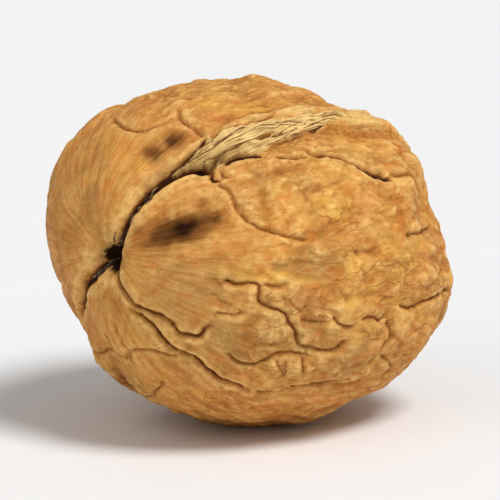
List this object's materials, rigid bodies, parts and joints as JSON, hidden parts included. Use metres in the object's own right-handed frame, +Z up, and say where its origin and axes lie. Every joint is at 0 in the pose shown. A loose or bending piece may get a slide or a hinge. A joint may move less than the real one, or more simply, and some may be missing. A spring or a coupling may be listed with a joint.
{
  "type": "walnut",
  "caption": "Whole walnut in its shell, lying on its side: two domed cheeks, a raised suture band between them, and creases that run out from the stem scar.",
  "frame": {"origin": "on the surface that the nut rests on, under the centre of its box", "axes": "+Z up; X along the nut, with the stem scar towards -X and the tip towards +X; the stem end is lifted 8 degrees, and the suture plane is rolled 30.5 degrees about the nut's length, its upper edge towards -Y"},
  "size_m": [0.0428, 0.0366, 0.0339],
  "materials": {
    "shell": "dry tan nutshell, matt with a dull sheen, dark brown in its creases"
  },
  "bodies": {
    "root": {"walnut": "shell"}
  },
  "joints": []
}
